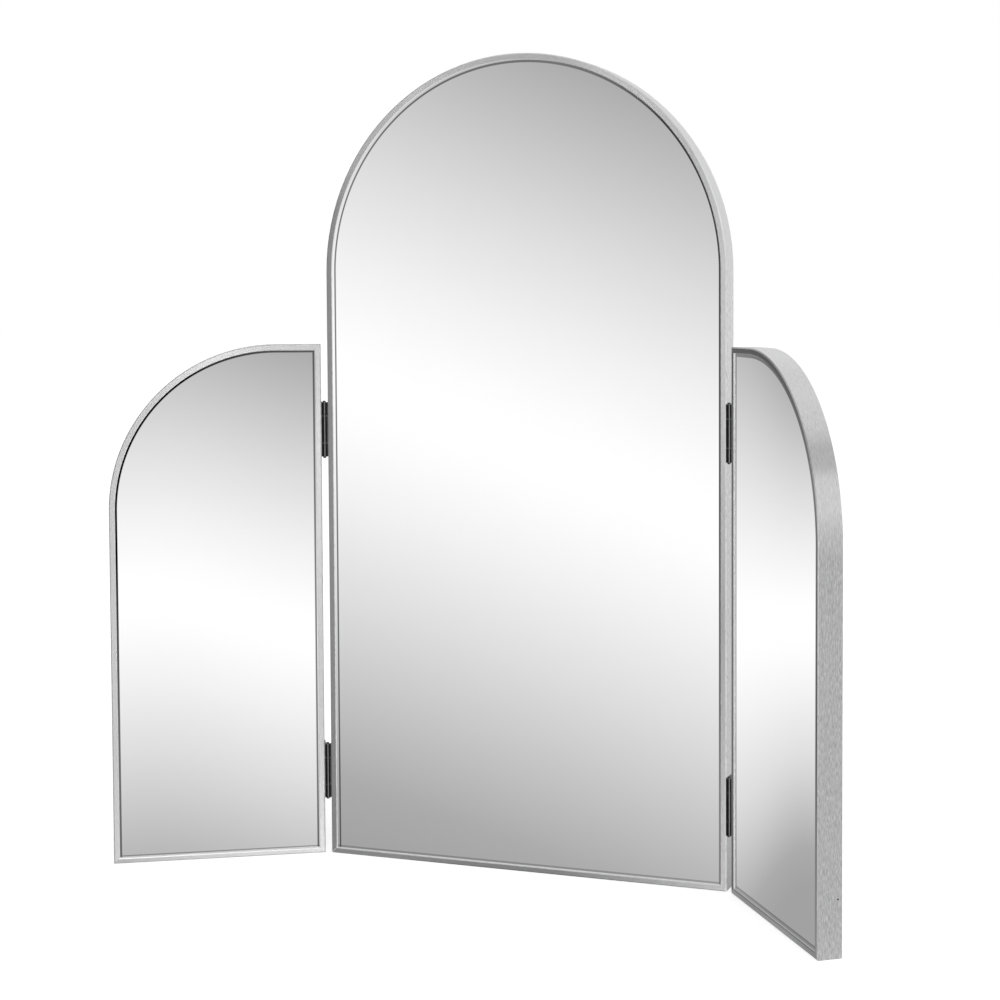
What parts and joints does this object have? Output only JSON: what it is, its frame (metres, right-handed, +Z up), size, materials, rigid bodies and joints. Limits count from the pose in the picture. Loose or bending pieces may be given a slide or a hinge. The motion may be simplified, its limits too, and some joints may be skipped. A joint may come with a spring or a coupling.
{
  "type": "trifold vanity mirror",
  "caption": "Free-standing folding dressing mirror with an arched centre panel and a shorter round-shouldered wing hinged on each side, in slim brushed metal frames.",
  "frame": {"origin": "middle of the centre panel's underside, in the plane of the table and halfway through the frame's depth", "axes": "+X to the viewer's right across the centre panel, +Y away from the viewer, out of the centre panel's back, +Z up"},
  "size_m": [0.673, 0.167, 0.7],
  "materials": {
    "frame": "brushed along the length, clear anodised",
    "mirror": "polished float glass, silvered behind",
    "foam": "closed-cell foam sheet",
    "core_board": "medium-density fibreboard, raw",
    "back_sheet": "black backing sheet, matt",
    "corner_key": "zinc plated",
    "hinge_leaf": "black coated steel, semi-gloss",
    "hinge_pin": "black steel pin, plain ends"
  },
  "bodies": {
    "centre_panel": {"centre_arch_frame": "frame", "centre_bottom_rail": "frame", "centre_mirror": "mirror", "centre_foam_pad": "foam", "centre_core_board": "core_board", "centre_back_sheet": "back_sheet", "centre_corner_keys": "corner_key", "left_lower_hinge_centre_leaf": "hinge_leaf", "left_lower_hinge_pin": "hinge_pin", "left_upper_hinge_centre_leaf": "hinge_leaf", "left_upper_hinge_pin": "hinge_pin", "right_lower_hinge_centre_leaf": "hinge_leaf", "right_lower_hinge_pin": "hinge_pin", "right_upper_hinge_centre_leaf": "hinge_leaf", "right_upper_hinge_pin": "hinge_pin"},
    "left_wing": {"left_wing_hinge_stile": "frame", "left_wing_bent_rail": "frame", "left_wing_bottom_rail": "frame", "left_wing_mirror": "mirror", "left_wing_foam_pad": "foam", "left_wing_core_board": "core_board", "left_wing_back_sheet": "back_sheet", "left_wing_corner_keys": "corner_key", "left_lower_hinge_wing_leaf": "hinge_leaf", "left_upper_hinge_wing_leaf": "hinge_leaf"},
    "right_wing": {"right_wing_hinge_stile": "frame", "right_wing_bent_rail": "frame", "right_wing_bottom_rail": "frame", "right_wing_mirror": "mirror", "right_wing_foam_pad": "foam", "right_wing_core_board": "core_board", "right_wing_back_sheet": "back_sheet", "right_wing_corner_keys": "corner_key", "right_lower_hinge_wing_leaf": "hinge_leaf", "right_upper_hinge_wing_leaf": "hinge_leaf"}
  },
  "joints": [
    {"name": "left_wing_fold", "type": "hinge", "parent": "centre_panel", "child": "left_wing", "pos_m": [-0.1866, -0.011, 0], "axis": [0, 0, 1], "range_deg": [-38, 149]},
    {"name": "right_wing_fold", "type": "hinge", "parent": "centre_panel", "child": "right_wing", "pos_m": [0.1866, -0.011, 0], "axis": [0, 0, -1], "range_deg": [-59.4, 127.6]}
  ]
}
